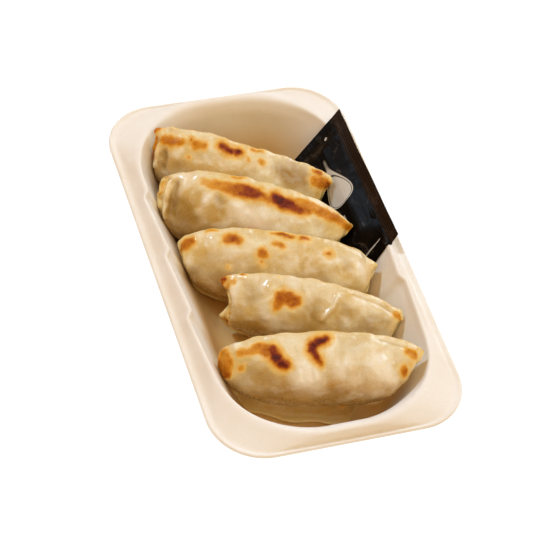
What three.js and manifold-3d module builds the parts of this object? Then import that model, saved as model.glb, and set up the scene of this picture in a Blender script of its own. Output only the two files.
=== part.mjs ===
// Five pan-fried gyoza standing in a row in a moulded-fibre tray, with a sauce sachet
// leaning on the tray's rim. Millimetres, +Z up. The origin is on the ground under the
// middle of the tray, whose long side runs along Y. The gyoza show their smooth faces to -Y.
import * as THREE from 'three';
import Module from 'manifold-3d';

const wasm = await Module();
wasm.setup();

// Clearance kept between pieces that rest on each other.
const gap = 0.35;

// Tray: its rim is a wide flange, low at the outer edge and high at the rounded crest that
// runs round the opening.
const tray = {
  length: 200,
  width: 114.2,
  edgeRadius: 23.8,
  edgeHeight: 29,
  crestInset: 8.3,
  crestRadius: 41,
  crestHeight: 33.2,
  thickness: 1.4,
  wallDraft: 27,
  filletRadius: 9,
  // At the two ends the opening is longer by endGain, and the walls bulge in by up to
  // endShoulder, most at the share shoulderPeak of the way down from the crest.
  endGain: 3.8,
  endShoulder: 3.4,
  shoulderPeak: 0.2,
};

// The rim's profile: inset, corner radius and height of each row, those of edgeRows as
// changes from the edge's and those of crestRows as changes from the crest's. Then the share
// of a flute's depth that reaches the row. wallRows has the way down the wall and that share.
const edgeRows = [[0.15, 0, -1, 0], [0, 0, -0.3, 0], [0.8, -0.8, 0.3, 0], [3.6, -2, -0.1, 0]];
const crestRows = [
  [-2, -6.88, -1.9, 0.55], [-0.9, -1.5, -0.3, 0.8], [0, 0, 0, 0.9], [0.9, -0.9, -0.5, 1],
  [1.9, -1.9, -2.2, 1],
];
const wallRows = [[0.12, 1], [0.5, 0.8], [1, 0.15]];

// Rows that the underside does without, because they only round off the crest and the edge.
const upperOnly = [0, 1, 5, 7, 13];

// Flutes are upright grooves pressed into both long walls, at an even pitch. sink is how
// much they lower the crest for each millimetre of their depth.
// They fade out where the wall's direction turns away from the long side, over the span of
// facing.
const flute = {
  first: -25.5, pitch: 34.5, count: 3, halfWidth: 3.8, depth: 2.3, sink: 0.5, facing: [0.4, 0.7],
};
const trayMesh = { longSide: 40, shortSide: 3, corner: 8 };

// Each gyoza is a half-moon pocket, its folded edge up and its curved, crimped edge down.
// left and right are the tips of the folded edge, rise is how far that edge arches above
// them, depth is how far the pocket hangs below them, ends is how deep it still is at each
// tip, lean tips it back in degrees, and front and back are the swell of its two faces.
const gyozaSpecs = [
  {
    left: [-36, 80, 35], right: [37.5, 38, 31], rise: 4, depth: 33, ends: [17, 9],
    lean: 24, front: 13, back: 8,
  },
  {
    left: [-40, 55, 29], right: [38.5, 11, 28], rise: 10, depth: 31, ends: [17, 8],
    lean: 27, front: 14, back: 8,
  },
  {
    left: [-41, 21, 26], right: [43, -12, 27], rise: 10, depth: 28, ends: [9, 9],
    lean: 24, front: 14, back: 8,
  },
  {
    left: [-29, -4, 26], right: [45, -41, 27], rise: 8, depth: 27, ends: [15, 7],
    lean: 20, front: 13, back: 8,
  },
  {
    left: [-41, -42, 26], right: [43.3, -67.3, 35.5], rise: 9, depth: 26, ends: [8, 11],
    lean: 24, front: 15, back: 8,
  },
];

// edge and topEdge are half the dough's thickness at its rims, belly is how much lower than
// the middle the swell sits, and ripple is the wave of the folded edge. The powers shape the
// outline of the folded edge, that of the curved edge, and the swell.
const gyozaShape = {
  edge: 1.3, topEdge: 1.4, belly: 0.25, ripple: 0.9, ripples: 8, ripplePower: 4,
  topPower: 3.2, lowPowers: [3, 0.62], swellPowers: [3.4, 0.7], sectionPower: 1.4,
  blunt: 0.04, sections: 30, loop: 14,
};

// The gyoza nearest the front also has a loose skirt of dough along the foot of its face,
// from and to along its length.
const skirt = {
  from: -0.8, to: 0.42, reach: 7.5, power: 0.7, arc: [0.03, 0.8], thickness: 1.4,
  rootRise: 2.5, rootDepth: 3, wave: 0.8, waves: 17, steps: 16,
};

// Sachet: its upper seam stands over the rim, and its lower edge is down inside the tray.
// The falls are the directions from the upper to the lower edge, at either end.
const sachet = {
  topNear: [53.4, -3.6, 38.2],
  topFar: [50.8, 72.8, 40.2],
  fallNear: [-0.54, -0.18, -0.82],
  fallFar: [-0.7, -0.32, -0.64],
  bendFrom: 0.45,
  width: 40,
  // The filling starts this far from an edge, inside the seam, and is full at fullAt.
  fillFrom: 3.6,
  fullAt: 15.6,
  seamThickness: 1,
  frontSwell: 5,
  backSwell: 1.6,
  stepsAlong: 14,
  stepsAcross: 8,
};

const dough = new THREE.MeshStandardMaterial({ color: 0xe6d3a8, roughness: 0.35 });
const fibre = new THREE.MeshStandardMaterial({ color: 0xf0e2d0, roughness: 0.85 });
const film = new THREE.MeshStandardMaterial({ color: 0x121012, roughness: 0.25 });

const radians = THREE.MathUtils.degToRad;
const mix = THREE.MathUtils.lerp;
const smooth = (t) => THREE.MathUtils.smoothstep(t, 0, 1);
const vector = (list) => new THREE.Vector3(...list);

// A closed body through successive rings of equal length, ended by a fan at each end.
function ringBody(rings) {
  const count = rings[0].length;
  const points = rings.flat();
  const middles = [rings[0], rings[rings.length - 1]].map((ring) =>
    ring.reduce((sum, p) => sum.add(p), new THREE.Vector3()).divideScalar(count));
  const faces = [];
  for (let r = 0; r + 1 < rings.length; r++) {
    for (let i = 0; i < count; i++) {
      const a = r * count + i;
      const b = r * count + (i + 1) % count;
      faces.push(a, b, b + count, a, b + count, a + count);
    }
  }
  const lastRing = (rings.length - 1) * count;
  for (let i = 0; i < count; i++) {
    const next = (i + 1) % count;
    faces.push(points.length, next, i);
    faces.push(points.length + 1, lastRing + i, lastRing + next);
  }
  return facingOut([...points, ...middles], faces);
}

function facingOut(points, faces) {
  let volume = 0;
  for (let f = 0; f < faces.length; f += 3) {
    const [a, b, c] = [points[faces[f]], points[faces[f + 1]], points[faces[f + 2]]];
    volume += a.dot(new THREE.Vector3().crossVectors(b, c));
  }
  if (volume < 0) faces.reverse();
  const geometry = new THREE.BufferGeometry().setFromPoints(points);
  geometry.setIndex(faces);
  return geometry;
}

const toSolid = (geometry) => new wasm.Manifold(new wasm.Mesh({
  numProp: 3,
  vertProperties: geometry.attributes.position.array,
  triVerts: Uint32Array.from(geometry.index.array),
}));

function toGeometry(solid) {
  const mesh = solid.getMesh();
  const geometry = new THREE.BufferGeometry();
  geometry.setAttribute('position', new THREE.BufferAttribute(mesh.vertProperties, 3));
  geometry.setIndex(new THREE.BufferAttribute(mesh.triVerts, 1));
  return geometry;
}

// Half sizes, corner radius and height of each ring of the tray's upper surface, from the
// outer edge over the crest and down the wall to the floor.
function trayProfile() {
  const halfWidth = tray.width / 2;
  const halfLength = tray.length / 2;
  const at = (inset, radius, z, fluted) => {
    const longer = tray.endGain * smooth(inset / tray.crestInset);
    return { w: halfWidth - inset, l: halfLength - inset + longer, radius, z, fluted };
  };
  const edge = edgeRows.map(([inset, radius, z, fluted]) =>
    at(inset, tray.edgeRadius + radius, tray.edgeHeight + z, fluted));
  const crest = crestRows.map(([inset, radius, z, fluted]) =>
    at(tray.crestInset + inset, tray.crestRadius + radius, tray.crestHeight + z, fluted));

  // The wall is straight from the last row of the crest to where the fillet starts.
  const draft = radians(tray.wallDraft);
  const radiusAt = (inset) => tray.crestRadius - (inset - tray.crestInset);
  const [topInset, , topChange] = crestRows.at(-1);
  const wallTop = { inset: tray.crestInset + topInset, z: tray.crestHeight + topChange };
  const wallFoot = { z: tray.thickness + tray.filletRadius * (1 - Math.sin(draft)) };
  wallFoot.inset = wallTop.inset + (wallTop.z - wallFoot.z) * Math.tan(draft);
  const wall = wallRows.map(([share, fluted]) => {
    const inset = mix(wallTop.inset, wallFoot.inset, share);
    return at(inset, radiusAt(inset), mix(wallTop.z, wallFoot.z, share), fluted);
  });

  // The fillet turns from the wall's slope to level in equal steps.
  const fillet = [1 / 3, 2 / 3, 1].map((share) => {
    const angle = mix(draft, Math.PI / 2, share);
    const inset = wallFoot.inset + tray.filletRadius * (Math.cos(draft) - Math.cos(angle));
    const z = tray.thickness + tray.filletRadius * (1 - Math.sin(angle));
    return at(inset, radiusAt(inset), z, 0);
  });
  return [...edge, ...crest, ...wall, ...fillet];
}

// Moves a profile off its own surface: positive shift is up and into the tray's hollow.
function shiftProfile(profile, shift) {
  return profile.map((ring, i) => {
    const before = profile[Math.max(i - 1, 0)];
    const after = profile[Math.min(i + 1, profile.length - 1)];
    const run = before.w - after.w;
    const fall = before.z - after.z;
    const size = Math.hypot(run, fall);
    const inward = (fall / size) * shift;
    const z = ring.z + (run / size) * shift;
    return { ...ring, w: ring.w - inward, l: ring.l - inward, radius: ring.radius - inward, z };
  });
}

// One ring round the tray: each quarter is a straight side and then a corner arc.
function trayRing(ring) {
  const points = [];
  const straight = [ring.l - ring.radius, ring.w - ring.radius];
  for (let quarter = 0; quarter < 4; quarter++) {
    const turn = quarter * Math.PI / 2;
    const alongSide = quarter % 2 === 0;
    const [half, across] = alongSide ? straight : straight.slice().reverse();
    const steps = alongSide ? trayMesh.longSide : trayMesh.shortSide;
    for (let i = 0; i < steps; i++) {
      points.push(placed(ring, turn, turn, across, mix(-half, half, i / steps)));
    }
    for (let i = 0; i < trayMesh.corner; i++) {
      points.push(placed(ring, turn, turn + Math.PI / 2 * i / trayMesh.corner, across, half));
    }
  }
  return points;
}

// A point of a ring, given its arc's centre in a frame that is turned by the quarter, and
// the direction it faces.
function placed(ring, turn, facing, centreX, centreY) {
  const normal = new THREE.Vector2(Math.cos(facing), Math.sin(facing));
  const point = new THREE.Vector2(centreX, centreY).rotateAround(new THREE.Vector2(), turn);
  point.addScaledVector(normal, ring.radius);
  const depth = fluteDepth(point.y, normal.x) * ring.fluted;
  point.addScaledVector(normal, depth - shoulder(ring, normal.y));
  const sink = ring.z > tray.edgeHeight ? flute.sink * depth : 0;
  return new THREE.Vector3(point.x, point.y, ring.z - sink);
}

// How far the end walls bulge in, at the height of this ring.
function shoulder(ring, sideways) {
  const down = (tray.crestHeight - ring.z) / (tray.crestHeight - tray.filletRadius);
  if (tray.width / 2 - ring.w <= tray.crestInset || down <= 0 || down >= 1) return 0;
  const facing = smooth(2 * Math.abs(sideways) - 1);
  return tray.endShoulder * facing * smooth(down / tray.shoulderPeak) * (1 - down);
}

// How far the flutes push a surface out, at this place along the long walls.
function fluteDepth(y, sideways) {
  const facing = THREE.MathUtils.smoothstep(Math.abs(sideways), ...flute.facing);
  let depth = 0;
  for (let i = 0; i < flute.count; i++) {
    const off = (y - flute.first - i * flute.pitch) / flute.halfWidth;
    if (Math.abs(off) < 1) depth = flute.depth * Math.sqrt(1 - off * off);
  }
  return depth * facing;
}

// The underside from the floor out to the edge, then the upper surface back to the floor.
function trayBody() {
  const upper = trayProfile();
  const underside = shiftProfile(upper, -tray.thickness)
    .filter((ring, i) => !upperOnly.includes(i));
  return ringBody([...underside.reverse(), ...upper].map(trayRing));
}

// Everything under the tray's upper surface, raised by the clearance: cutting a piece with
// it leaves the piece resting on the tray.
function trayBlock() {
  const profile = shiftProfile(trayProfile(), gap);
  const around = { ...profile[0], w: tray.width, l: tray.length };
  const foot = { ...around, z: -tray.thickness };
  return toSolid(ringBody([foot, around, ...profile].map(trayRing)));
}

const group = new THREE.Group();
function addPiece(name, geometry, material) {
  const mesh = new THREE.Mesh(geometry, material);
  mesh.name = name;
  group.add(mesh);
}

addPiece('tray', trayBody(), fibre);

// The frame of one gyoza: place(u, height, thick) is a point at u from -1 to 1 along it, at
// a height above the line of its tips and a distance in front of its middle plane.
function gyozaFrame(spec) {
  const left = vector(spec.left);
  const along = vector(spec.right).sub(left);
  const backward = new THREE.Vector3(-along.y, along.x, 0).normalize();
  const lean = radians(spec.lean);
  const up = backward.clone().multiplyScalar(Math.sin(lean)).setZ(Math.cos(lean));
  const forward = backward.clone().multiplyScalar(-Math.cos(lean)).setZ(Math.sin(lean));
  const place = (u, height, thick) => left.clone().addScaledVector(along, (u + 1) / 2)
    .addScaledVector(up, height).addScaledVector(forward, thick);
  return { place, toFront: backward.negate() };
}

const topEdge = (spec, u) =>
  spec.rise * (1 - Math.abs(u) ** gyozaShape.topPower) + gyozaShape.topEdge;

function lowEdge(spec, u) {
  const end = spec.ends[u < 0 ? 0 : 1];
  const [inner, outer] = gyozaShape.lowPowers;
  return -end - (spec.depth - end) * (1 - Math.abs(u) ** inner) ** outer;
}

// grow makes it larger all round, to cut a neighbour with a clearance.
function gyozaBody(spec, index, grow) {
  const { place } = gyozaFrame(spec);
  const { blunt, sections, swellPowers: [inner, outer] } = gyozaShape;
  const rings = [];
  for (let i = 0; i <= sections; i++) {
    const u = -Math.cos(mix(blunt, 1 - blunt, i / sections) * Math.PI);
    const fullness = (1 - Math.abs(u) ** inner) ** outer;
    const ripple = gyozaShape.ripple * Math.sin(u * gyozaShape.ripples * Math.PI + index * 2);
    const ring = [];
    for (let k = 0; k < gyozaShape.loop; k++) {
      const angle = 2 * Math.PI * k / gyozaShape.loop;
      const rise = Math.cos(angle);
      const across = Math.sin(angle);
      const swell = Math.abs(across) ** gyozaShape.sectionPower * (1 - gyozaShape.belly * rise);
      const face = (across >= 0 ? spec.front : spec.back) * fullness * swell;
      const thick = Math.sign(across) * face + across * (gyozaShape.edge + grow);
      const height = mix(lowEdge(spec, u) - grow, topEdge(spec, u) + grow, (rise + 1) / 2);
      ring.push(place(u, height, thick + ripple * Math.max(rise, 0) ** gyozaShape.ripplePower));
    }
    rings.push(ring);
  }
  return toSolid(ringBody(rings));
}

// A strip of dough from inside the foot of the front face out over the tray's floor.
function skirtBody(spec) {
  const { place, toFront } = gyozaFrame(spec);
  const ground = tray.thickness + gap;
  const rings = [];
  for (let i = 0; i <= skirt.steps; i++) {
    const share = i / skirt.steps;
    const u = mix(skirt.from, skirt.to, share);
    const root = place(u, lowEdge(spec, u), 0);
    const reach = skirt.reach * Math.sin(Math.PI * mix(...skirt.arc, share)) ** skirt.power
      + skirt.wave * Math.sin(share * skirt.waves);
    const rim = root.clone().addScaledVector(toFront, reach);
    const foot = Math.max(ground, root.z - skirt.rootDepth);
    rings.push([
      root.clone().setZ(root.z + skirt.rootRise),
      rim.clone().setZ(foot + skirt.thickness),
      rim.clone().setZ(foot),
      root.clone().setZ(foot),
    ]);
  }
  return toSolid(ringBody(rings));
}

// A flat-seamed pillow: one ring of its section for each step from its near to its far end.
function sachetBody(grow) {
  const [topNear, topFar, fallNear, fallFar] =
    [sachet.topNear, sachet.topFar, sachet.fallNear, sachet.fallFar].map(vector);
  const along = topFar.clone().sub(topNear);
  const filled = (fromEdge) =>
    THREE.MathUtils.smoothstep(fromEdge, sachet.fillFrom, sachet.fullAt);
  const rings = [];
  for (let i = 0; i <= sachet.stepsAlong; i++) {
    const t = i / sachet.stepsAlong;
    const top = topNear.clone().addScaledVector(along, t);
    const bend = THREE.MathUtils.smoothstep(t, sachet.bendFrom, 1);
    const fall = fallNear.clone().lerp(fallFar, bend).normalize();
    const front = new THREE.Vector3().crossVectors(along, fall).normalize();
    const side = (k, swell, facing) => {
      const s = k / sachet.stepsAcross;
      const fromEnd = Math.min(t, 1 - t) * along.length();
      const fromSide = Math.min(s, 1 - s) * sachet.width;
      const full = filled(fromEnd) * filled(fromSide);
      return top.clone().addScaledVector(fall, sachet.width * s)
        .addScaledVector(front, facing * (swell * full + sachet.seamThickness / 2 + grow));
    };
    const ring = [];
    for (let k = 0; k <= sachet.stepsAcross; k++) ring.push(side(k, sachet.frontSwell, 1));
    for (let k = sachet.stepsAcross; k >= 0; k--) ring.push(side(k, sachet.backSwell, -1));
    rings.push(ring);
  }
  return toSolid(ringBody(rings));
}

const block = trayBlock();
addPiece('sauce_sachet', toGeometry(sachetBody(0).subtract(block)), film);

// Each gyoza gives way to the tray, to the sachet and to the gyoza in front of it.
gyozaSpecs.forEach((spec, index) => {
  let solid = gyozaBody(spec, index, 0);
  const inFront = gyozaSpecs[index + 1];
  if (inFront) solid = solid.subtract(gyozaBody(inFront, index + 1, gap));
  else solid = solid.add(skirtBody(spec));
  solid = solid.subtract(block).subtract(sachetBody(gap));
  addPiece(`gyoza_${index + 1}`, toGeometry(solid), dough);
});

export default group;
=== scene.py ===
# Five pan-fried gyoza in a moulded-fibre tray, with a dark sauce sachet leaning on its rim.
# Lengths are in millimetres until a piece is finished, and then in metres.
# Sizes in the three finishes' dictionaries are those of a pattern's features.
import math

import bmesh
import bpy
from mathutils import Matrix, Vector, noise
from mathutils.bvhtree import BVHTree


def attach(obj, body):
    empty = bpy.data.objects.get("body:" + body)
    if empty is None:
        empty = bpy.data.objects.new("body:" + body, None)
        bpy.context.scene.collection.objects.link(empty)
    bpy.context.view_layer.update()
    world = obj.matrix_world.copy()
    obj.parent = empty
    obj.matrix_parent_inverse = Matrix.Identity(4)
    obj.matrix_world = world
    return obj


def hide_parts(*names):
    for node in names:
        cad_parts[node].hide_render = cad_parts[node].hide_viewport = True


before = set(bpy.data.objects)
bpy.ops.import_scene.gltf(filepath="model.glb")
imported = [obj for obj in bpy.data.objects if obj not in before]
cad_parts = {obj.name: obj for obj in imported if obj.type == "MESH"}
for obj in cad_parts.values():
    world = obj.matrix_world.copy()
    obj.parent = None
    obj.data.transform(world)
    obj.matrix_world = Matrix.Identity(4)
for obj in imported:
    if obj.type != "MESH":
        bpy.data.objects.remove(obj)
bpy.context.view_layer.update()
millimetre = 0.001
weldGap, tinyEdge = 0.0005, 0.0001


def mix(a, b, share):
    return a + (b - a) * share


def smooth(share):
    share = min(max(share, 0.0), 1.0)
    return share * share * (3 - 2 * share)


def wander(point, size, seed):
    # smooth noise from -1 to 1, with features of about this size
    return noise.noise(Vector(point) / size + Vector((seed * 17.31, seed * 5.17, seed * 2.93)))


def colour(text):
    # hex text to the linear colour that the shaders want
    parts = [int(text[i:i + 2], 16) / 255 for i in (0, 2, 4)]
    return (*[p / 12.92 if p < 0.04045 else ((p + 0.055) / 1.055) ** 2.4 for p in parts], 1.0)


def gridSheet(bm, columns, rows, place):
    # a grid whose points go where place(column, row) says
    made = bmesh.ops.create_grid(bm, x_segments=columns, y_segments=rows, size=1)["verts"]
    for vert in made:
        vert.co = place(round((vert.co.x + 1) / 2 * columns), round((vert.co.y + 1) / 2 * rows))
    return made


def closeSheets(bm):
    bmesh.ops.remove_doubles(bm, verts=bm.verts, dist=weldGap)
    bmesh.ops.dissolve_degenerate(bm, edges=bm.edges, dist=tinyEdge)
    bmesh.ops.recalc_face_normals(bm, faces=bm.faces)
    bm.normal_update()


def pressOff(bm, tree, gap, reach):
    # points that lie behind a neighbour's surface are laid against it instead
    moved = []
    for vert in bm.verts:
        spot, normal, _, far = tree.find_nearest(vert.co, reach)
        if spot is None:
            continue
        side = (vert.co - spot).dot(normal)
        if side < gap and abs(side) > 0.7 * far:
            vert.co = spot + normal * gap
            moved.append(vert)
    return moved


def finishPiece(name, bm, material, node, levels):
    bmesh.ops.scale(bm, vec=(millimetre,) * 3, verts=bm.verts)
    mesh = bpy.data.meshes.new(name)
    bm.to_mesh(mesh)
    mesh.materials.append(material)
    mesh.polygons.foreach_set("use_smooth", [True] * len(mesh.polygons))
    piece = bpy.data.objects.new(name, mesh)
    bpy.context.scene.collection.objects.link(piece)
    if levels:
        finer = piece.modifiers.new("finer", "SUBSURF")
        finer.levels = finer.render_levels = levels
    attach(piece, "root")
    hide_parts(node)
    print("made", name, len(mesh.polygons), "faces")
    return piece


class Wire:
    # a socket that can be used in sums
    def __init__(self, paint, socket):
        self.paint, self.socket = paint, socket

    def maths(self, operation, *values):
        return self.paint.node("Math", {"operation": operation}, dict(enumerate(values)))

    def wave(self):
        return self.maths("SINE", self)

    def __add__(self, other):
        return self.maths("ADD", self, other)

    def __sub__(self, other):
        return self.maths("SUBTRACT", self, other)

    def __rsub__(self, other):
        return self.maths("SUBTRACT", other, self)

    def __mul__(self, other):
        return self.maths("MULTIPLY", self, other)

    def __truediv__(self, other):
        return self.maths("DIVIDE", self, other)

    __radd__ = __add__
    __rmul__ = __mul__

    def larger(self, other):
        return self.maths("MAXIMUM", self, other)

    def size(self):
        return self.maths("ABSOLUTE", self)

    def between(self, low, high):
        # 0 below low, 1 above high and smooth in between
        return self.paint.node("MapRange", {"interpolation_type": "SMOOTHSTEP"},
                               {0: self, 1: low, 2: high})


class Paint:
    # one node material
    def __init__(self, name):
        self.material = bpy.data.materials.new(name)
        self.material.use_nodes = True
        self.tree = self.material.node_tree
        self.tree.nodes.clear()

    def node(self, kind, settings=None, inputs=None, output=0):
        made = self.tree.nodes.new("ShaderNode" + kind)
        for name, value in (settings or {}).items():
            if name == "stops":
                ramp = made.color_ramp
                while len(ramp.elements) < len(value):
                    ramp.elements.new(1)
                for element, (at, shade) in zip(ramp.elements, value):
                    element.position, element.color = at, shade
            else:
                setattr(made, name, value)
        for name, value in (inputs or {}).items():
            if isinstance(value, Wire):
                self.tree.links.new(value.socket, made.inputs[name])
            else:
                made.inputs[name].default_value = value
        return Wire(self, made.outputs[output]) if made.outputs else None

    def places(self):
        return self.node("TexCoord", output="Object")

    def attribute(self, name):
        return self.node("Attribute", {"attribute_name": name}, output="Fac")

    def turned(self, where, angle, stretch):
        return self.node("Mapping", {}, {"Vector": where, "Rotation": (0, 0, angle),
                                         "Scale": stretch})

    def noise(self, where, size, detail=2.0, rough=0.5):
        # size is that of the features, in millimetres
        return self.node("TexNoise", {}, {"Vector": where, "Scale": 1 / (size * millimetre),
                                          "Detail": detail, "Roughness": rough})

    def blend(self, share, first, second):
        return self.node("Mix", {"data_type": "RGBA"}, {0: share, 6: first, 7: second}, output=2)

    def bump(self, height, depth, strength=1.0):
        # depth is in millimetres
        return self.node("Bump", {}, {"Height": height, "Distance": depth * millimetre,
                                      "Strength": strength})

    def finish(self, **sockets):
        names = {key: key.replace("_", " ") for key in sockets}
        surface = self.node("BsdfPrincipled", {}, {names[k]: v for k, v in sockets.items()})
        self.node("OutputMaterial", {}, {"Surface": surface})
        return self.material


# Sizes of the rings are the inset from the outer edge, the corner radius, the height and
# the share of a flute's depth that the ring takes.
tray = {
    "halfWidth": 57.1, "halfLength": 100, "thickness": 1.4,
    "fluteFirst": -25.5, "flutePitch": 34.5, "fluteCount": 3, "fluteHalf": 3.8, "fluteDepth": 2.5,
    "fluteStep": 4.5, "fluteSink": 0.25, "rimHeight": 29, "filletRadius": 9, "wallDraft": 27,
    "rings": [(0.15, 23.8, 28.0, 0), (0, 23.8, 28.7, 0), (0.7, 23.1, 29.35, 0),
              (1.6, 22.6, 29.15, 0), (2.9, 22.4, 28.75, 0), (4.6, 26.5, 29.6, 0.2),
              (6.3, 33.8, 31.2, 0.55), (7.4, 39.3, 32.7, 0.8), (8.5, 40.8, 33.2, 0.9),
              (9.5, 39.8, 32.8, 1), (10.3, 39.0, 31.0, 1)],
    "foot": (22.78, 26.5, 6.31, 0.15), "crestHeight": 33.2, "crestInset": 8.3,
    "endGain": 3.8, "endShoulder": 3.4, "shoulderSpan": 24.2, "shoulderRise": 0.2,
    "longSteps": 168, "shortSteps": 20, "cornerSteps": 30, "wallRows": 16, "filletRows": 7,
    "floorInsets": (34, 39, 45, 51, 56), "middleHalf": 5, "deepShadeFrom": 4, "deepShadeSpan": 24,
}
fibre = {
    "pale": "efebe3", "warm": "ebe4d8", "oily": "ecc67e", "fleck": "d6c2a4", "strand": "f8f3ea",
    "cloudSize": 26, "pulpSize": 1.6, "strandSize": 2.4, "gritSize": 0.55, "relief": 0.22,
}


def fibreMaterial():
    paint = Paint("mouldedFibre")
    where = paint.places()
    clouds = paint.noise(where, fibre["cloudSize"], 3)
    pulp = paint.noise(where, fibre["pulpSize"], 4, 0.65)
    strands = paint.noise(paint.turned(where, 0.5, (1, 4.5, 1)), fibre["strandSize"], 3, 0.6)
    grit = paint.noise(where, fibre["gritSize"], 2)
    base = paint.blend(clouds.between(0.35, 0.7), colour(fibre["pale"]), colour(fibre["warm"]))
    # painted shade: the fibre turns warmer and darker golden towards the floor of the tray, varied
    # by the clouds
    oily = paint.attribute("oily") * (0.75 + clouds * 0.3)
    base = paint.blend(oily, base, colour(fibre["oily"]))
    base = paint.blend(pulp.between(0.62, 0.8) * 0.28, base, colour(fibre["fleck"]))
    base = paint.blend(strands.between(0.66, 0.74) * 0.3, base, colour(fibre["strand"]))
    height = pulp * 0.55 + strands * 0.3 + grit * 0.25
    return paint.finish(Base_Color=base, Roughness=0.74 + pulp * 0.16,
                        Normal=paint.bump(height, fibre["relief"], 0.6),
                        Specular_IOR_Level=0.22, Sheen_Weight=0.12, Sheen_Roughness=0.5)


def curveThrough(rows, pieces):
    # more rows along a smooth curve through these
    result = []
    for i in range(len(rows) - 1):
        four = [rows[max(i - 1, 0)], rows[i], rows[i + 1], rows[min(i + 2, len(rows) - 1)]]
        for step in range(pieces):
            t = step / pieces
            result.append(tuple(
                0.5 * (2 * b + (c - a) * t + (2 * a - 5 * b + 4 * c - d) * t * t
                       + (3 * b - a - 3 * c + d) * t ** 3) for a, b, c, d in zip(*four)))
    return result + [rows[-1]]


def trayRows():
    # from the outer edge over the crest and down the wall to the middle of the floor
    wallTop, foot = tray["rings"][-1], tray["foot"]
    rows = curveThrough(tray["rings"], 3)
    for step in range(1, tray["wallRows"] + 1):
        rows.append(tuple(mix(a, b, step / tray["wallRows"]) for a, b in zip(wallTop, foot)))
    draft = math.radians(tray["wallDraft"])
    for step in range(1, tray["filletRows"] + 1):
        angle = mix(draft, math.pi / 2, step / tray["filletRows"])
        inset = foot[0] + tray["filletRadius"] * (math.cos(draft) - math.cos(angle))
        z = tray["thickness"] + tray["filletRadius"] * (1 - math.sin(angle))
        rows.append((inset, foot[1] + foot[0] - inset, z, 0))
    for inset in tray["floorInsets"]:
        rows.append((inset, max(foot[1] + foot[0] - inset, 0.5), tray["thickness"], 0))
    return rows


def shiftedRows(rows, shift):
    moved = []
    for i, (inset, radius, z, fluted) in enumerate(rows):
        before, after = rows[max(i - 1, 0)], rows[min(i + 1, len(rows) - 1)]
        run, fall = after[0] - before[0], before[2] - after[2]
        size = math.hypot(run, fall)
        inward = fall / size * shift
        moved.append((inset + inward, max(radius - inward, 0.5), z + run / size * shift, fluted))
    return moved


def trayStops():
    # where the points of every ring lie: quarter, share along its side, share of its corner
    stops = []
    for quarter in range(4):
        steps = tray["longSteps"] if quarter % 2 == 0 else tray["shortSteps"]
        stops += [(quarter, i / steps, 0) for i in range(steps)]
        stops += [(quarter, 1, i / tray["cornerSteps"]) for i in range(tray["cornerSteps"])]
    return stops


def fluteDepth(y, sideways):
    # each flute is a sharp step outwards that fades away towards the next one
    deep = 0
    for i in range(tray["fluteCount"]):
        past = tray["fluteFirst"] + i * tray["flutePitch"] + tray["fluteHalf"] - y
        if 0 < past < tray["flutePitch"]:
            fade = 1 - past / tray["flutePitch"]
            deep = tray["fluteDepth"] * smooth(past / tray["fluteStep"]) * fade
    return deep * smooth((abs(sideways) - 0.4) / 0.3)


def trayPoint(row, stop):
    inset, radius, z, fluted = row
    quarter, along, bend = stop
    longer = tray["endGain"] * smooth(inset / tray["crestInset"])
    straight = (tray["halfLength"] + longer - inset - radius, tray["halfWidth"] - inset - radius)
    half, across = straight if quarter % 2 == 0 else straight[::-1]
    turn = Matrix.Rotation(quarter * math.pi / 2, 2)
    outward = Matrix.Rotation((quarter + bend) * math.pi / 2, 2) @ Vector((1, 0))
    at = turn @ Vector((across, mix(-half, half, along))) + outward * radius
    deep = fluteDepth(at.y, outward.x) * fluted
    # the walls at the two ends bulge in under the crest
    down, bulge = (tray["crestHeight"] - z) / tray["shoulderSpan"], 0
    if inset > tray["crestInset"] and 0 < down < 1:
        bulge = tray["endShoulder"] * math.sqrt(min(down / tray["shoulderRise"], 1)) * (1 - down)
        bulge *= smooth((abs(outward.y) - 0.5) / 0.5)
    at += outward * (deep - bulge)
    sink = tray["fluteSink"] * deep if z > tray["rimHeight"] else 0
    return Vector((at.x, at.y, z - sink))


def buildTray():
    rows, stops = trayRows(), trayStops()
    bm = bmesh.new()
    oily = bm.verts.layers.float.new("oily")
    for vert in gridSheet(bm, len(stops), len(rows) - 1,
                          lambda c, r: trayPoint(rows[r], stops[c % len(stops)])):
        # painted shade, strongest on the floor and fading out up the walls
        vert[oily] = 1 - smooth((vert.co.z - tray["deepShadeFrom"]) / tray["deepShadeSpan"])
    bmesh.ops.remove_doubles(bm, verts=bm.verts, dist=weldGap)
    middle = [edge for edge in bm.edges if edge.is_boundary
              and max(abs(vert.co.x) for vert in edge.verts) < tray["middleHalf"]]
    bmesh.ops.holes_fill(bm, edges=middle, sides=0)
    bmesh.ops.recalc_face_normals(bm, faces=bm.faces)
    if bm.faces[0].normal.z < 0 and bm.faces[-1].normal.z < 0:
        bmesh.ops.reverse_faces(bm, faces=bm.faces)
    bm.normal_update()
    tree = BVHTree.FromBMesh(bm)    # the inside alone, for what rests on it
    under = [rows[0]] + shiftedRows(rows, -tray["thickness"])[2:]
    gridSheet(bm, len(stops), len(under) - 1,
              lambda c, r: trayPoint(under[r], stops[c % len(stops)]))
    bmesh.ops.remove_doubles(bm, verts=bm.verts, dist=weldGap)
    bmesh.ops.holes_fill(bm, edges=[edge for edge in bm.edges if edge.is_boundary], sides=0)
    closeSheets(bm)
    finishPiece("tray_fibre", bm, fibreMaterial(), "tray", 0)
    return tree


trayTree = buildTray()


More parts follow.
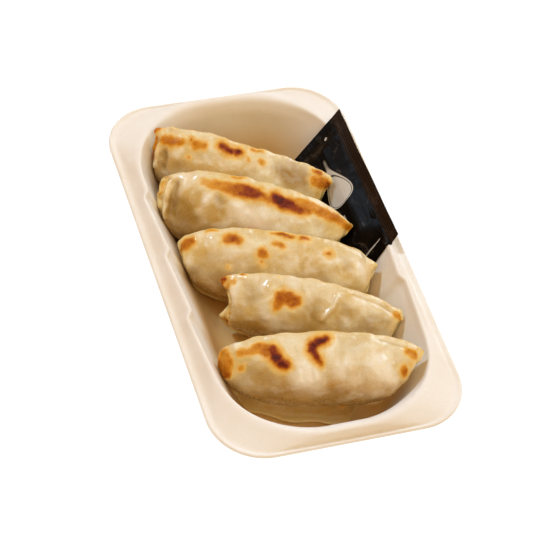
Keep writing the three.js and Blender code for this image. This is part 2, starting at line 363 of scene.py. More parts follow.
sachet = {
    "topNear": (53.4, -3.6, 38.2), "topFar": (50.8, 72.8, 40.2),
    "fallNear": (-0.54, -0.18, -0.82), "fallFar": (-0.7, -0.32, -0.64),
    "width": 40, "seam": 6, "seamHalf": 0.35, "frontSwell": 5, "backSwell": 1.6,
    "along": 150, "across": 76, "ribPitch": 1.15, "ribHeight": 0.16, "pucker": 0.28,
    "sag": 0.8, "creasing": 0.22, "backShift": 300, "hold": 12, "gap": 0.3, "faceGap": 0.9,
}
film = {
    "dark": "070402", "lit": "0f0805", "crumpleSheen": "2b1d12", "glint": "6c6259", "seam": "43301f",
    "print": "c9c5bd", "crumpleSize": 9, "streakSize": 1.2, "wrinkleSize": 6, "relief": 0.9,
}
# Places on the film are (along, across) from its near upper corner.
motif = {
    "dropAt": (44, 16.5), "dropHalf": (11.5, 8.2), "fullness": 0.42, "outline": 0.13,
    "dashAt": 24, "dashRows": (19, 21.4), "dotAt": (69, 12.5), "lineAt": 6.3,
    "lineSpan": (9, 25),
}


def motifMask(u, v):
    # a pale drop with a thin outline, two dashes, a dot and a line near the end
    (dropU, dropV), (dropLong, dropWide) = motif["dropAt"], motif["dropHalf"]
    x, y = (v - dropV) / dropWide, (u - dropU) / dropLong
    body = x * x - (1 - y) * (1 - y) * (1 - y) * (1 + y) * motif["fullness"]
    outline = 1 - (body + motif["outline"]).size().between(0.02, 0.035)
    drop = (1 - body.between(-0.02, 0.02) - outline * 0.85).larger(0)
    first, second = [1 - (v - row).size().between(0.35, 0.5) for row in motif["dashRows"]]
    dashes = (1 - (u - motif["dashAt"]).size().between(3.8, 4.0)) * first.larger(second)
    dotU, dotV = motif["dotAt"]
    dot = 1 - ((u - dotU).size() + (v - dotV).size() * 1.4).between(1.3, 1.6)
    start, stop = motif["lineSpan"]
    line = 1 - (u - motif["lineAt"]).size().between(0.22, 0.4)
    line = line * v.between(start, start + 1) * (1 - v.between(stop - 1, stop))
    return drop.larger(dashes * 0.8).larger(dot * 0.9).larger(line * 0.9)


def filmMaterial():
    paint = Paint("darkFilm")
    where = paint.places()
    sheet = paint.node("UVMap", {"uv_map": "film"})
    u, v = [paint.node("SeparateXYZ", {}, {0: sheet}, output=i) for i in (0, 1)]
    crumple = paint.noise(where, film["crumpleSize"], 3, 0.6)
    streaks = paint.noise(paint.turned(where, 0, (1, 0.16, 1)), film["streakSize"], 3)
    wrinkle = paint.noise(paint.turned(where, 0, (1, 0.45, 1)), film["wrinkleSize"], 4, 0.6)
    # painted highlights: the film is lighter where its crumples stand highest, with a painted
    # sheen on their tops
    base = paint.blend(crumple.between(0.4, 0.7), colour(film["dark"]), colour(film["lit"]))
    base = paint.blend(crumple.between(0.56, 0.72) * 0.5, base, colour(film["crumpleSheen"]))
    # painted glints along thin wrinkle lines where the film is crumpled up
    glint = 1 - (wrinkle - 0.5).size().between(0.0, 0.028)
    base = paint.blend(glint * crumple.between(0.46, 0.62) * 0.45, base, colour(film["glint"]))
    seam = 1 - v.between(5.2, 6.6)
    # the seam's own streaked brown, with painted highlights along the rib crests
    ribCrestSheen = (v * (2 * math.pi / sachet["ribPitch"])).wave() * 0.5 + 0.5
    base = paint.blend(seam * (0.05 + ribCrestSheen * 0.65 + streaks * 0.2), base, colour(film["seam"]))
    pale = motifMask(u, v)
    base = paint.blend(pale, base, colour(film["print"]))
    rough = 0.4 + streaks * 0.12 + pale * 0.1 + seam * 0.1
    height = crumple * 0.9 + streaks * 0.3
    return paint.finish(Base_Color=base, Roughness=rough, Specular_IOR_Level=0.16,
                        Normal=paint.bump(height, film["relief"], 0.6))


def sachetPoint(t, s, face):
    topNear, topFar = Vector(sachet["topNear"]), Vector(sachet["topFar"])
    along = topFar - topNear
    width, seam = sachet["width"], sachet["seam"]
    fall = Vector(sachet["fallNear"]).lerp(Vector(sachet["fallFar"]), smooth((t - 0.45) / 0.55))
    fall.normalize()
    front = along.cross(fall).normalized()
    fromEnd, fromSide = min(t, 1 - t) * along.length, min(s, 1 - s) * width
    full = smooth(fromEnd / seam / 2 - 0.3) * smooth(fromSide / seam / 2 - 0.3)
    rounding = min(min(fromEnd, fromSide) / sachet["seamHalf"], 1)
    half = sachet["seamHalf"] * math.sqrt(1 - (1 - rounding) ** 2)
    half += (sachet["frontSwell"] if face > 0 else sachet["backSwell"]) * full
    at = topNear + along * t + fall * (width * s)
    # the film puckers where the pouch draws its seams in
    pucker = smooth(1 - abs(fromEnd - seam) / 9) + smooth(1 - abs(fromSide - seam) / 9)
    lift = sachet["pucker"] * pucker * wander((at.x * 0.5, at.y, at.z * 0.5), 4.2, 3)
    lift += sachet["sag"] * wander(at, 18, 5) + sachet["creasing"] * full * wander(at, 7, 8)
    if s * width < seam:
        lift += sachet["ribHeight"] * math.sin(s * width / sachet["ribPitch"] * 2 * math.pi)
    return at + front * (face * half + lift)


def buildSachet():
    bm = bmesh.new()
    length = (Vector(sachet["topFar"]) - Vector(sachet["topNear"])).length
    uv = bm.loops.layers.uv.new("film")
    columns, rows = sachet["along"], sachet["across"]
    for face in (1, -1):
        sheet = gridSheet(bm, columns, rows, lambda c, r: sachetPoint(c / columns, r / rows, face))
        shift = 0 if face > 0 else sachet["backShift"]      # the back has no print
        known = {vert: (i % (columns + 1) / columns * length + shift,
                        i // (columns + 1) / rows * sachet["width"])
                 for i, vert in enumerate(sheet)}
        for one in {f for vert in sheet for f in vert.link_faces}:
            for loop in one.loops:
                loop[uv].uv = known[loop.vert]
        if face > 0:
            bmesh.ops.recalc_face_normals(bm, faces=bm.faces)
            outward = Vector((-1, 0, 0.6))
            if sum(f.normal.dot(outward) for f in bm.faces) < 0:
                bmesh.ops.reverse_faces(bm, faces=bm.faces)
            bm.normal_update()
            pressOff(bm, trayTree, sachet["faceGap"], sachet["hold"])
            tree = BVHTree.FromBMesh(bm)
    closeSheets(bm)
    pressOff(bm, trayTree, sachet["gap"], sachet["hold"])
    finishPiece("sachet_film", bm, filmMaterial(), "sauce_sachet", 1)
    return tree


sachetTree = buildSachet()


doughShape = {
    "edge": 1.3, "topEdge": 1.4, "belly": 0.25, "ripple": 0.35, "ripples": 8,
    "pinch": 2.4, "pinchHalf": 0.7, "pocketShare": 0.84,
    "along": 150, "down": 72, "crowding": 0.55, "gap": 0.35, "lowest": 1.75,
    "lumps": [(0.6, 17, 0), (0.5, 6.5, 7), (0.2, 2.6, 9)],      # height, size, seed
    "blisterLift": 1.1, "blisterSize": 5, "blisterRarity": 0.22, "crustLift": 0.16,
}
dough = {
    "pale": "e8dab4", "golden": "dcc286", "floury": "f2ebd6", "soaked": "ab8440",
    "foldPale": "f6f0de", "foldDark": "cfa64c", "paleAndHighlightPatch": "f8f4e8", "paintedShadePatch": "a07a2c",
    "thin": "e3bd69", "thinEdgeHighlight": "f7e3a8", "cloudSize": 15, "mottleSize": 4.2,
    "grainSize": 0.9, "poreSize": 0.45, "foldSize": 5, "relief": 0.6,
    "crust": [(0.0, "eedaa2"), (0.18, "e8c67a"), (0.38, "dc9e2c"), (0.56, "c07808"),
              (0.74, "9c4800"), (0.9, "782400"), (1.0, "541400")],
}

# From the farthest to the nearest. left and right are the tips of the folded edge, rise its
# arch above them, depth the pocket below them, ends its depth at the tips, lean its tilt in
# degrees, front and back the swell of its faces, fins the thin crimped ends' widths, ruffle
# their wave and flares how far they bend outwards. hollows, slants and corners shape the two
# ends' outlines. patches are painted highlights and paler floury places above nought and
# painted shade below it, as (along, down the face, radius, value), toasted the browned ones as
# runs of (along, down the face, radius, heat), and creases are runs of (along, down the face,
# width, height). skirt is the flap that lies on the tray.
gyozas = [
    {"left": (-36, 80, 35), "right": (37.5, 38, 31), "rise": 4, "depth": 33, "ends": (17, 9),
     "lean": 24, "front": 13, "back": 8, "fins": (5, 3.4), "ruffle": 0.8, "flares": (1.5, 0),
     "hollows": (1, 0.5), "slants": (0, 2), "corners": (2, 2),
     "lightAndShadePatches": [(-29.2, 12.2, 3, 0.9), (-9.6, 11.8, 3, 0.5), (-28.1, 16.9, 3.7, -0.8),
                 (-0.7, 12.1, 3, 0.4), (16.6, 6.6, 4, -0.4), (-13.9, 7.6, 2.2, 0.4),
                 (-35.6, 14.2, 2.2, -0.6), (3, 15.6, 4.5, -0.5), (21.3, 10.3, 4.5, -0.8),
                 (30, 9, 6, -1), (24, 4, 4, -0.5)],
     "toasted": [[(-37, 6.3, 1.8, 0.5), (-33, 7.2, 2.6, 0.56), (-28.5, 6.3, 1.8, 0.46)],
                 [(-41.3, 0.2, 1.6, 0.62)], [(-41.5, 6, 1.4, 0.42), (-42, 12, 1.6, 0.5),
                 (-41, 17, 1.2, 0.36)], [(-22, 7.4, 2.0, 0.5), (-18.5, 6.8, 1.6, 0.46)],
                 [(-24.5, 5.8, 0.35, 0.9)], [(-10.6, 4.8, 1.5, 0.9), (-6.2, 5.6, 1.7, 0.95)],
                 [(-2.7, 5.6, 1.9, 0.92)], [(3, 6.8, 0.9, 0.4)], [(9.3, 7.2, 1.5, 0.42)],
                 [(-23.9, 13.4, 0.6, 0.45)], [(3.5, 1.7, 0.7, 0.5), (8, 1.7, 0.7, 0.4)],
                 [(33, 2.2, 0.8, 0.6), (36, 2.2, 1.0, 0.7)], [(35.5, 6.2, 2.8, 0.45),
                 (39.5, 5, 2.6, 0.62), (41.3, 3.6, 1.0, 0.8)]],
     "creases": [[(-20, 10.5, 2.4, -0.4), (-10, 12, 2.2, -0.4)], [(36.8, 3.5, 0.9, 0.5),
                 (37.5, 7, 0.8, 0.4)], [(20, 9, 3.5, -0.5), (26, 14, 3, -0.5)],
                 [(-38.5, 9, 0.8, 1.2), (-38, 20, 0.8, 1.2)], [(-35.4, 12, 1.8, -1.7),
                 (-34.5, 20, 1.8, -1.7)]]},
    {"left": (-40, 55, 29), "right": (38.5, 11, 28), "rise": 10, "depth": 31, "ends": (17, 8),
     "lean": 27, "front": 14, "back": 8, "fins": (6.5, 3.4), "ruffle": 0.9, "flares": (4.5, 0),
     "hollows": (0.6, 0.3), "slants": (0, 4.5), "corners": (1.2, 1),
     "lightAndShadePatches": [(-22, 14.1, 2.5, 1), (-23.3, 20, 2.5, 0.9), (-7.1, 16.4, 5.2, 0.8),
                 (-33.3, 9.2, 2.1, 0.5), (-34, 17, 4.5, -1), (-30, 22, 5, -0.8),
                 (-16.2, 13.9, 3, -0.5), (3.2, 19, 6.5, 0.8), (15, 21, 5, 0.5),
                 (-34.4, 3.4, 4.5, 0.5), (11.7, 15.8, 4, -0.35), (-25.4, 24.6, 4.5, -0.8),
                 (30, 12, 4, -0.3)],
     "toasted": [[(-25.5, 6.2, 1.7, 0.3), (-19.8, 7, 2.2, 0.4), (-14.7, 7.3, 2.6, 0.5),
                 (-10, 7.6, 3.0, 0.62), (-5.5, 7.4, 3.0, 0.78), (-1, 7.0, 2.6, 0.86),
                 (2.5, 8, 2.0, 0.6)], [(2, 8.5, 2.0, 0.52), (5, 8.6, 2.0, 0.6)],
                 [(8.3, 7, 2.6, 0.9), (13.8, 7.9, 2.6, 0.95), (19, 8.4, 2.2, 0.72),
                 (23.5, 8.2, 1.8, 0.55)], [(19, 5.5, 2.8, 0.42), (28, 5.6, 2.4, 0.46),
                 (33, 4.6, 2.2, 0.5), (38, 3.6, 2.0, 0.5), (43.5, 2.6, 1.4, 0.52)],
                 [(-13.5, 0.9, 0.7, 0.46), (-7.5, 0.9, 0.6, 0.4)], [(-43.5, 3, 1.5, 0.32),
                 (-43, 9, 1.3, 0.3)]],
     "creases": [[(-26, 13, 2.8, -0.5), (-24, 20, 2.6, -0.5)], [(-16, 13, 2.6, -0.7),
                 (-14, 19, 2.6, -0.5)], [(-4, 13, 3.2, -0.4), (6, 15, 3, -0.4)],
                 [(-40.6, 4, 0.8, 1.3), (-40, 14, 0.8, 1.3), (-38.4, 23, 0.8, 1.1)],
                 [(-37.2, 6, 2, -2), (-36.4, 20, 2, -2)]]},
    {"left": (-41, 21, 26), "right": (43, -12, 27), "rise": 10, "depth": 28, "ends": (9, 9),
     "lean": 24, "front": 14, "back": 8, "fins": (2.4, 3.4), "ruffle": 0.5, "flares": (0, 0.5),
     "hollows": (0, 0.8), "slants": (3, 2), "corners": (3.2, 1),
     "lightAndShadePatches": [(-40.7, 12.9, 2.4, 0.8), (-21.3, 14.1, 3, 0.7), (-26.7, 22.4, 4.5, -0.6),
                 (-7.1, 15.6, 3, -0.35), (-11.7, 21.7, 3.5, -0.3), (4.7, 14.5, 3, 0.5),
                 (19.2, 19.8, 5, -0.7), (31.1, 9.3, 3.5, -0.5), (37, 8, 2.6, 0.9),
                 (11, 26.7, 5, -0.6), (-17.7, 6.8, 2.6, 0.5), (-35.6, 2.8, 2.2, 0.5),
                 (22, 10.2, 3, 0.3), (-38, 20, 5, -0.8)],
     "toasted": [[(-41, 4.6, 2.9, 0.56)], [(-24, 5.7, 1.9, 0.58), (-21, 6.3, 2.2, 0.68),
                 (-18.3, 7.1, 1.5, 0.5)], [(-7.8, 12.2, 2.1, 0.56)], [(-2.6, 6.9, 1.2, 0.46),
                 (0.2, 7.3, 1.4, 0.55)], [(-7.8, 16, 0.45, 0.6)], [(22.1, 7.4, 0.45, 0.8)],
                 [(-21.8, 19.3, 0.35, 0.4)], [(-5, 1.7, 0.5, 0.5), (1, 2.0, 0.8, 0.8),
                 (5, 2.2, 0.7, 0.75)], [(9, 2.4, 0.8, 0.8), (11.5, 2.6, 0.6, 0.6)],
                 [(-33, 1.2, 0.8, 0.4), (-29, 0.8, 0.7, 0.35)]],
     "creases": [[(12, 12.5, 0.7, -0.5), (10.4, 15, 0.7, -0.5), (11, 19, 0.7, -0.4)],
                 [(30, 7, 1.6, 0.4), (35, 9, 1.4, 0.4)], [(-30, 15, 3.5, -0.5),
                 (-18, 17, 3.5, -0.3)], [(33, 12, 2.4, 0.5), (38, 12, 2, 0.4)]]},
    {"left": (-29, -4, 26), "right": (45, -41, 27), "rise": 8, "depth": 27, "ends": (15, 7),
     "lean": 20, "front": 13, "back": 8, "fins": (4.6, 3.2), "ruffle": 0.8, "flares": (2.5, 0),
     "hollows": (4.4, 0), "slants": (2.4, 2), "corners": (1, 2),
     "lightAndShadePatches": [(-35.3, 7.8, 4.4, 1), (-26.8, 11.5, 4.4, -0.3), (-0.7, 13.8, 4.4, -0.35),
                 (16.9, 10.5, 3.9, -0.4), (20.8, 4.8, 3.9, 0.6), (28.5, 5.5, 3, 0.3),
                 (33, 9, 4, -0.6), (27, 12, 4, -0.6), (-16.9, 20.2, 5.5, 0.6),
                 (-20.8, 27.5, 5.5, -0.5), (2.9, 19.9, 5.5, -0.5), (23.3, 15.4, 5.5, -0.5),
                 (-10.1, 3, 3.3, 0.6)],
     "toasted": [[(-13.6, 9.8, 2.4, 0.62), (-13.8, 13, 2.4, 0.64), (-14, 15, 1.6, 0.55)],
                 [(-13, 11, 3.0, 0.62), (-9.5, 11, 3.2, 0.64), (-7.2, 10.4, 2.4, 0.58)],
                 [(-40.4, 1.4, 1.1, 0.9)], [(-36, 3.6, 1.4, 0.3), (-39, 5, 1.2, 0.34)],
                 [(-36.6, 25, 1.8, 0.7)], [(-37.5, 19, 1.6, 0.42)], [(38.2, 3.4, 1.7, 0.44)],
                 [(-32, 0.3, 0.7, 0.6)], [(-16, 0.8, 0.6, 0.2)]],
     "creases": [[(11, 6, 0.9, 1.2), (9.6, 11.5, 1.1, 0.9), (6, 17, 1.0, 0.7)],
                 [(14, 11, 3, -0.7), (13, 17, 3, -0.6)], [(3, 10, 3, -0.6), (2, 17, 3, -0.4)],
                 [(-29, 7, 3.4, -0.7), (-26, 12, 3.4, -0.5)], [(18, 3.4, 0.8, -0.5),
                 (36, 3.2, 0.7, -0.4)]]},
    {"left": (-41, -42, 26), "right": (43.3, -67.3, 35.5), "rise": 9, "depth": 26,
     "ends": (8, 11), "lean": 24, "front": 15, "back": 8, "fins": (2.8, 4.2), "ruffle": 0.5,
     "flares": (0, 1), "hollows": (0, 0.5), "slants": (0, 6), "corners": (2.4, 0.8),
     "skirt": {"from": -0.8, "to": 0.42, "reach": 7.5, "wave": 0.8},
     "lightAndShadePatches": [(-7, 19.5, 6, 1), (7, 18.5, 5, 0.8), (24.3, 14.3, 6.1, 0.9),
                 (-37.3, 1, 2.8, 0.8), (29.9, 19.4, 3.3, 0.8), (-33.3, 13.5, 5, -0.45),
                 (-19.5, 28.2, 6.6, -0.4), (5, 30, 7, -0.2), (20.9, 25.3, 6.6, 0.3),
                 (-26.2, 19.2, 5, -0.4), (-6.2, 5.7, 2.8, 0.5), (36.8, 5.3, 3.3, -0.25),
                 (3.1, 10.9, 2.2, 0.6), (12.3, 7, 6.6, -0.25), (-36.8, 21.5, 3.3, -0.5)],
     "toasted": [[(-43, 3, 2.6, 0.4), (-42, 8, 3.6, 0.52), (-42, 13, 3.0, 0.6)],
                 [(-35.3, 12.5, 1.6, 0.4)], [(-35.5, 5.7, 1.6, 0.36), (-31, 6.4, 2.0, 0.42),
                 (-27, 6.7, 2.8, 0.52), (-24, 8.2, 3.0, 0.6)], [(-22.4, 7.8, 1.9, 0.85),
                 (-21.3, 10.8, 2.1, 0.95), (-19.5, 13, 1.8, 0.9)], [(-18.4, 14.6, 1.9, 0.95),
                 (-16.2, 15.6, 1.5, 0.9)], [(0.6, 4.2, 1.6, 0.9), (-2, 4.9, 1.8, 0.95),
                 (-5, 6.9, 1.9, 0.95), (-5.6, 9.2, 1.7, 0.9), (-3.8, 12.2, 1.5, 0.85),
                 (-2, 14.6, 1.3, 0.7)], [(36.8, 5.4, 1.8, 0.44), (40, 4.6, 1.6, 0.46)],
                 [(36, 13.8, 1.9, 0.55)], [(38.5, 9.5, 1.0, 0.3)], [(12.5, 50.5, 1.4, 0.5)]],
     "creases": [[(24, 3.0, 0.6, -0.5), (33, 4.0, 0.6, -0.5), (41, 5, 0.6, -0.4)],
                 [(-4.5, 17, 0.8, 0.6), (-3.2, 22, 0.8, 0.5)], [(-14, 21, 3.5, 0.5),
                 (-2, 25, 3.5, 0.4)], [(5, 13, 3.5, -0.5), (3, 19, 3, -0.4)], [(26, 8, 4, -0.6),
                 (33, 14, 3, -0.4)], [(-38, 2, 1.6, 0.6), (-36.5, 5, 1.4, 0.5)],
                 [(-32, 16, 4, -0.5), (-24, 22, 4, -0.4)]]},
]


def doughMaterial():
    paint = Paint("friedDough")
    where = paint.places()
    browned, thin, soaked, patch = [paint.attribute(name) for name in (
        "browned", "thin", "soaked", "patch")]
    clouds = paint.noise(where, dough["cloudSize"], 3)
    mottle = paint.noise(where, dough["mottleSize"], 4, 0.6)
    grain = paint.noise(where, dough["grainSize"], 4, 0.65)
    pores = paint.noise(where, dough["poreSize"], 2)
    folds = paint.noise(paint.turned(where, 0.45, (0.55, 1, 1)), dough["foldSize"], 2, 0.5)
    base = paint.blend(clouds.between(0.38, 0.66), colour(dough["pale"]), colour(dough["golden"]))
    for share, tone in ((mottle.between(0.5, 0.75) * 0.6, "floury"),
                        # painted shade on the lower part of each face
                        (soaked * (0.55 + clouds * 0.6), "soaked"),
                        (folds.between(0.5, 0.68) * 0.25, "foldPale"),
                        ((1 - folds.between(0.32, 0.48)) * 0.2, "foldDark"),
                        # painted shade and painted highlights from the patches and creases
                        ((patch * -0.8).larger(0), "paintedShadePatch"),
                        ((patch * 0.8).larger(0), "paleAndHighlightPatch"),
                        # thin edges turn yellow, and their thinnest rims get a painted highlight
                        (thin * 0.5, "thin"), (thin.between(0.75, 1) * 0.8, "thinEdgeHighlight")):
        base = paint.blend(share, base, colour(dough[tone]))
    toast = browned * (0.5 + grain * 0.56 + mottle * 0.44)
    toast = toast + (mottle - 0.5) * 0.3 * browned.between(0.04, 0.3)
    crust = paint.node("ValToRGB", {"stops": [(at, colour(tone)) for at, tone in dough["crust"]]},
                       {0: toast})
    base = paint.blend(toast.between(0.03, 0.22), base, crust)
    height = grain * (0.35 + toast * 0.9) + mottle * 0.6 + folds * 0.9 + pores * 0.15
    rough = 0.27 + toast.between(0.1, 0.7) * 0.34 + (grain - 0.5) * 0.14
    oil = (0.35 + mottle.between(0.42, 0.6) * 0.55) * (1 - toast.between(0.05, 0.3) * 0.9)
    return paint.finish(Base_Color=base, Roughness=rough,
                        Normal=paint.bump(height, dough["relief"], 0.5),
                        Subsurface_Weight=0.22, Subsurface_Radius=(1.0, 0.65, 0.35),
                        Subsurface_Scale=0.002, Specular_IOR_Level=0.36,
                        Coat_Weight=oil, Coat_Roughness=0.1)


def gyozaFrame(spec):
    left = Vector(spec["left"])
    along = Vector(spec["right"]) - left
    backward = Vector((-along.y, along.x, 0)).normalized()
    lean = math.radians(spec["lean"])
    up = backward * math.sin(lean) + Vector((0, 0, math.cos(lean)))
    forward = Vector((0, 0, math.sin(lean))) - backward * math.cos(lean)

    def place(u, height, thick):
        return left + along * ((u + 1) / 2) + up * height + forward * thick
    return place, -backward, along.length / 2


def outlineAt(spec, seed, u, half, side):
    # heights of the folded edge and of the pocket's lowest line
    end, corner = spec["ends"][side], spec["corners"][side]
    inCorner = max(corner - (1 - abs(u)) * half, 0)
    cut = corner - math.sqrt(corner * corner - inCorner * inCorner)
    top = spec["rise"] * (1 - abs(u) ** 3.2) + doughShape["topEdge"] - cut
    top += 0.45 * wander((u * half, 0, 0), 5, seed) + 0.25 * wander((u * half, 9, 0), 2.4, seed)
    low = -end - (spec["depth"] - end) * (1 - abs(u) ** 3) ** 0.62 + cut
    return top, low


def thicknessAt(spec, u, fromEnd, fin, pocket, rim, face):
    rise, across = math.cos(math.pi * pocket), math.sin(math.pi * pocket)
    finned = smooth(fromEnd / fin / 0.75 - 0.33)
    full = (1 - abs(u) ** 3.4) ** 0.7 * mix(0.12, 1, finned)
    swell = across ** 1.4 * (1 - doughShape["belly"] * rise)
    thick = (spec["front"] if face > 0 else spec["back"]) * full * swell
    thick += across * doughShape["edge"] * mix(0.5, 1, finned)
    pinched = doughShape["pinchHalf"] * smooth(pocket / 0.2 - 4)
    rimEnd = max(0, rim - 0.7) / 0.3
    ending = 1 - min(fromEnd / 1.1, 1)
    return (math.hypot(thick, pinched) * math.sqrt(max(1 - rimEnd * rimEnd, 0))
            * math.sqrt(1 - ending * ending))


def endShift(spec, seed, side, fromEnd, wave, height, fallen):
    # the end's outline: ragged, hollowed half way down and slanting in towards its foot
    hollow, slant = spec["hollows"][side], spec["slants"][side]
    shift = wave * 0.9 * wander((height, 3, side * 9), 2.6, seed)
    shift -= hollow * math.sin(math.pi * fallen) * (1 - smooth(fromEnd / (hollow * 1.8 + 2)))
    shift -= slant * smooth(fallen) * (1 - smooth(fromEnd / (slant * 3 + 1)))
    return shift


def skirted(skirt, at, root, middle, u, along, rim, thick, face, toFront):
    # the pinched rim drawn out into a flap that lies on the tray
    run = (u - skirt["from"]) / (skirt["to"] - skirt["from"])
    if rim == 0 or not 0 < run < 1:
        return at
    reach = skirt["reach"] * math.sin(math.pi * mix(0.03, 0.8, run)) ** 0.7
    reach += skirt["wave"] * math.sin(run * 17)
    reach *= smooth(run / 0.12) * smooth((1 - run) / 0.05)
    foot = 2.7 + 0.5 * wander((along, 0, 0), 6, 2) * rim
    foot += 2.6 * rim * math.exp(-((run - 0.965) / 0.03) ** 2)
    flat = root + toFront * (reach * rim)
    flat.z = mix(root.z, foot, smooth(rim * 1.7))
    straightUp = Vector((0, 0, face))
    tilt = (at - middle).normalized() if thick > 0.01 else straightUp
    laid = flat + tilt.lerp(straightUp, smooth(rim * 2.2)).normalized() * thick
    return at.lerp(laid, smooth(run / 0.08) * smooth((1 - run) / 0.04))


def gyozaPoint(spec, seed, u, share, face):
    place, toFront, half = gyozaFrame(spec)
    side = 0 if u < 0 else 1
    fin, fromEnd, along = spec["fins"][side], (1 - abs(u)) * half, u * half
    top, low = outlineAt(spec, seed, u, half, side)
    seam = low + doughShape["pinch"]
    pocket = min(share / doughShape["pocketShare"], 1)
    rim = max(0, share - doughShape["pocketShare"]) / (1 - doughShape["pocketShare"])
    rise = math.cos(math.pi * pocket)
    thick = thicknessAt(spec, u, fromEnd, fin, pocket, rim, face)
    height = mix(seam, top, (rise + 1) / 2) if rim == 0 else mix(seam, low, rim)
    ripple = doughShape["ripple"] * math.sin(u * doughShape["ripples"] * math.pi + (seed - 1) * 2)
    ripple *= max(rise, 0) ** 4 if rim == 0 else 0
    # ruffles of the thin ends and of the pinched rim
    wave = spec["ruffle"] * (1 - smooth(fromEnd / (fin * 1.7)))
    ripple += wave * 1.3 * math.sin(height * 0.85 + seed * 2)
    ripple += rim * (0.5 + wave) * wander((along, height, 0), 3.2, seed + 4)
    nearEnd = 1 - smooth(fromEnd / (fin * 1.6))
    ripple += spec["flares"][side] * nearEnd * smooth((top - height) / 7)
    fallen = min(max((top - height) / (top - low), 0), 1)
    shift = endShift(spec, seed, side, fromEnd, wave, height, fallen) / half - 0.004
    at = place(u + shift * (1 if u > 0 else -1), height, face * thick + ripple)
    if "skirt" in spec:
        at = skirted(spec["skirt"], at, place(u, seam, 0), place(u, height, 0), u, along, rim,
                     thick, face, toFront)
    return at


def nearRun(run, x, down):
    # how far (x, down) lies outside a run of places, and that place's last value
    best = (99, 0)
    for i in range(max(len(run) - 1, 1)):
        a, b = run[i], run[min(i + 1, len(run) - 1)]
        dx, dd = b[0] - a[0], b[1] - a[1]
        size = dx * dx + dd * dd
        t = min(max(((x - a[0]) * dx + (down - a[1]) * dd) / size, 0), 1) if size else 0
        far = math.hypot(x - a[0] - dx * t, down - a[1] - dd * t)
        best = min(best, (far - mix(a[2], b[2], t), mix(a[3], b[3], t)))
    return best


def brownedAt(spec, seed, x, down, point):
    x += 0.8 * wander(point, 3.6, seed + 20) + 0.3 * wander(point, 1.3, seed + 21)
    down += 0.8 * wander(point, 3.6, seed + 22) + 0.3 * wander(point, 1.3, seed + 23)
    most = 0
    for run in spec["toasted"]:
        far, heat = nearRun(run, x, down)
        far -= 0.5
        soft = 2.2 + heat * 1.6
        most = max(most, heat * (1 - smooth((far + soft * 0.55) / soft)),
                   0.3 * heat * (1 - smooth(far / 4)))
    return most


def lightAndShadePatchAt(spec, seed, x, down, point):
    # painted highlights and paler floury places above nought, painted shade below it
    x += 1.4 * wander(point, 4.5, seed + 40)
    down += 1.4 * wander(point, 4.5, seed + 41)
    total = 0
    for patchX, patchDown, radius, value in spec["lightAndShadePatches"]:
        far = ((x - patchX) ** 2 + (down - patchDown) ** 2) / radius ** 2
        if far < 9:
            total += value * math.exp(-far)
    return min(max(total, -1), 1)


def creasedAt(spec, x, down):
    total = 0
    for run in spec["creases"]:
        width, height = run[0][2:]
        if abs(x - run[0][0]) < 30:
            far = max(nearRun([(a, b, 0, 0) for a, b, _, _ in run], x, down)[0], 0)
            if far < width * 3:
                total += height * math.exp(-(far / width) ** 2)
    return total


def layGyoza(bm, layers, spec, seed):
    # the two faces of the pocket, with what each point has to know
    columns, rows = doughShape["along"], doughShape["down"]
    half = gyozaFrame(spec)[2]

    def spread(column):
        # from -1 to 1, closer together at the ends
        even = column / columns * 2 - 1
        return mix(even, math.sin(even * math.pi / 2), doughShape["crowding"])

    for face in (1, -1):
        sheet = gridSheet(bm, columns, rows, lambda c, r: gyozaPoint(
            spec, seed, spread(c), r / rows, face))
        for i, vert in enumerate(sheet):
            row, u = i // (columns + 1), spread(i % (columns + 1))
            above = sheet[i - columns - 1] if row else None
            down = above[layers["downIt"]] + (vert.co - above.co).length if above else 0
            vert[layers["alongIt"]], vert[layers["downIt"]] = u * half, down
            vert[layers["faceSide"]] = face
            fromRim = min((1 - abs(u)) * half, (rows - row) / rows * 40)
            vert[layers["thin"]] = max(1 - smooth((fromRim - 1.5) / 7),
                                       0.6 - 0.6 * smooth(vert[layers["downIt"]] / 1.8))
            rimmed = smooth((row / rows - doughShape["pocketShare"]) / 0.05)
            # painted shade: the face grows darker and more golden further down, less so on the
            # pinched rim
            vert[layers["soaked"]] = smooth((vert[layers["downIt"]] - 9) / 24) * (1 - 0.8 * rimmed)


def shapeSkin(bm, layers, spec, seed):
    # lumps, blisters, creases and the browned crust
    for vert in bm.verts:
        x, down = vert[layers["alongIt"]], vert[layers["downIt"]]
        lift = 0
        for height, size, change in doughShape["lumps"]:
            lift += height * wander(vert.co, size, seed + change)
        blister = wander(vert.co, doughShape["blisterSize"], seed + 15)
        lift += doughShape["blisterLift"] * max(blister - doughShape["blisterRarity"], 0)
        lift *= 1 - 0.7 * vert[layers["thin"]]
        if vert[layers["faceSide"]] > 0:
            creased = creasedAt(spec, x, down)
            patch = lightAndShadePatchAt(spec, seed, x, down, vert.co)
            lift += creased + 0.5 * patch
            vert[layers["browned"]] = brownedAt(spec, seed, x, down, vert.co)
            # the painted shade and highlights also darken crease hollows and lighten crease ridges
            vert[layers["patch"]] = min(max(patch + 0.5 * creased, -1), 1)
        else:
            vert[layers["browned"]] = 0.5 * smooth((wander(vert.co, 9, seed + 30) - 0.25) / 0.3)
        crust = vert[layers["browned"]] * wander(vert.co, 1.4, seed + 11)
        vert.co += vert.normal * (lift + doughShape["crustLift"] * crust)


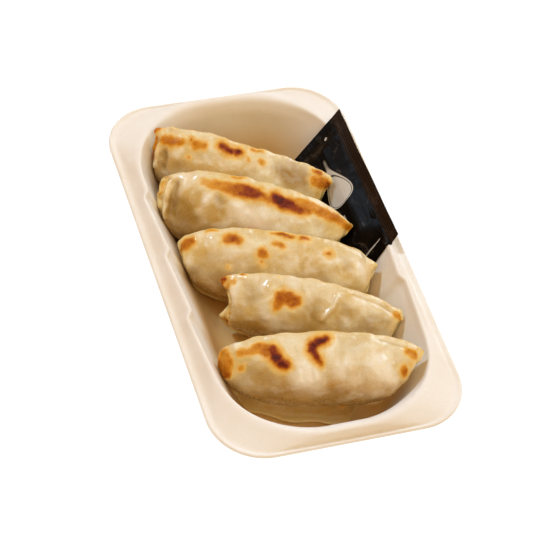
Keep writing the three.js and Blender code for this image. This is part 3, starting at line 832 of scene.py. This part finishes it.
def buildGyoza(spec, seed, material, inFront):
    bm = bmesh.new()
    layers = {name: bm.verts.layers.float.new(name) for name in (
        "alongIt", "downIt", "faceSide", "browned", "thin", "soaked", "patch")}
    layGyoza(bm, layers, spec, seed)
    closeSheets(bm)
    shapeSkin(bm, layers, spec, seed)
    moved = set()
    for tree, reach in ((inFront, 14), (sachetTree, 9), (trayTree, 16)):
        if tree:
            moved.update(pressOff(bm, tree, doughShape["gap"], reach))
    for vert in bm.verts:
        vert.co.z = max(vert.co.z, doughShape["lowest"])
    for _ in range(3):
        bmesh.ops.smooth_vert(bm, verts=list(moved), factor=0.5, use_axis_x=True,
                              use_axis_y=True, use_axis_z=True)
    bm.normal_update()
    tree = BVHTree.FromBMesh(bm)
    finishPiece(f"gyoza_{seed}_dough", bm, material, f"gyoza_{seed}", 1)
    return tree


friedDough = doughMaterial()
inFront = None
for number in range(len(gyozas), 0, -1):
    inFront = buildGyoza(gyozas[number - 1], number, friedDough, inFront)


studio = {
    "floorSize": 6, "floorGlow": 0.96, "floorShade": 0.06,
    "ambient": (1.0, 0.52, 0.14), "ambientPower": 0.5,
}
# where each lamp shines from, its size in degrees, its power and its colour
lamps = {
    "key": ((-0.45, 0.5, 0.74), 7, 0.78, (0.7, 1.03, 1.36)),
    "side": ((0.72, 0.42, 0.55), 40, 0.9, (0.7, 1.04, 1.42)),
    "top": ((0.1, -0.1, 1), 40, 0.48, (0.74, 1.02, 1.22)),
    "front": ((0.25, -0.75, 0.68), 40, 0.4, (0.93, 0.97, 0.72)),
}
camera = {
    "place": (-283.664, -559.185, 773.703), "lens": 144, "clip": (0.05, 20),
    "right": (0.9446, -0.30103, 0.13083), "down": (-0.15719, -0.76479, -0.62481),
    "ahead": (0.28814, 0.56963, -0.76974),
}


def buildFloor():
    bm = bmesh.new()
    bmesh.ops.create_grid(bm, x_segments=4, y_segments=4, size=studio["floorSize"] / 2)
    mesh = bpy.data.meshes.new("floor")
    bm.to_mesh(mesh)
    paint = Paint("paleFloor")
    glow = paint.node("Emission", {}, {"Color": (1, 1, 1, 1), "Strength": studio["floorGlow"]})
    plain = paint.node("BsdfDiffuse", {}, {"Color": (0.9, 0.9, 0.9, 1)})
    both = paint.node("MixShader", {}, {0: studio["floorShade"], 1: glow, 2: plain})
    paint.node("OutputMaterial", {}, {"Surface": both})
    mesh.materials.append(paint.material)
    floor = bpy.data.objects.new("floor", mesh)
    bpy.context.scene.collection.objects.link(floor)


def buildLight():
    for name, (source, size, power, tint) in lamps.items():
        light = bpy.data.lights.new(name, "SUN")
        light.energy, light.color, light.angle = power, tint, math.radians(size)
        lamp = bpy.data.objects.new(name, light)
        lamp.rotation_euler = Vector(source).to_track_quat("Z", "Y").to_euler()
        bpy.context.scene.collection.objects.link(lamp)
    world = bpy.data.worlds.new("studio")
    bpy.context.scene.world = world
    world.use_nodes = True
    tree = world.node_tree
    tree.nodes.clear()
    warm, white = tree.nodes.new("ShaderNodeBackground"), tree.nodes.new("ShaderNodeBackground")
    warm.inputs[0].default_value = (*studio["ambient"], 1)
    warm.inputs[1].default_value = studio["ambientPower"]
    seen, both = tree.nodes.new("ShaderNodeLightPath"), tree.nodes.new("ShaderNodeMixShader")
    out = tree.nodes.new("ShaderNodeOutputWorld")
    tree.links.new(seen.outputs["Is Camera Ray"], both.inputs[0])
    tree.links.new(warm.outputs[0], both.inputs[1])
    tree.links.new(white.outputs[0], both.inputs[2])
    tree.links.new(both.outputs[0], out.inputs[0])
    white.inputs[0].default_value = (1, 1, 1, 1)


def buildCamera():
    data = bpy.data.cameras.new("camera")
    data.lens = camera["lens"]
    data.clip_start, data.clip_end = camera["clip"]
    eye = bpy.data.objects.new("camera", data)
    right, down, ahead = [Vector(camera[k]) for k in ("right", "down", "ahead")]
    turned = Matrix((right, -down, -ahead)).transposed().to_4x4()
    eye.matrix_world = Matrix.Translation(Vector(camera["place"]) * millimetre) @ turned
    bpy.context.scene.collection.objects.link(eye)
    bpy.context.scene.camera = eye


buildFloor()
buildLight()
buildCamera()
bpy.context.scene.view_settings.view_transform = "Standard"
bpy.context.scene.view_settings.look = "Medium High Contrast"
print("floor, light and camera are ready")
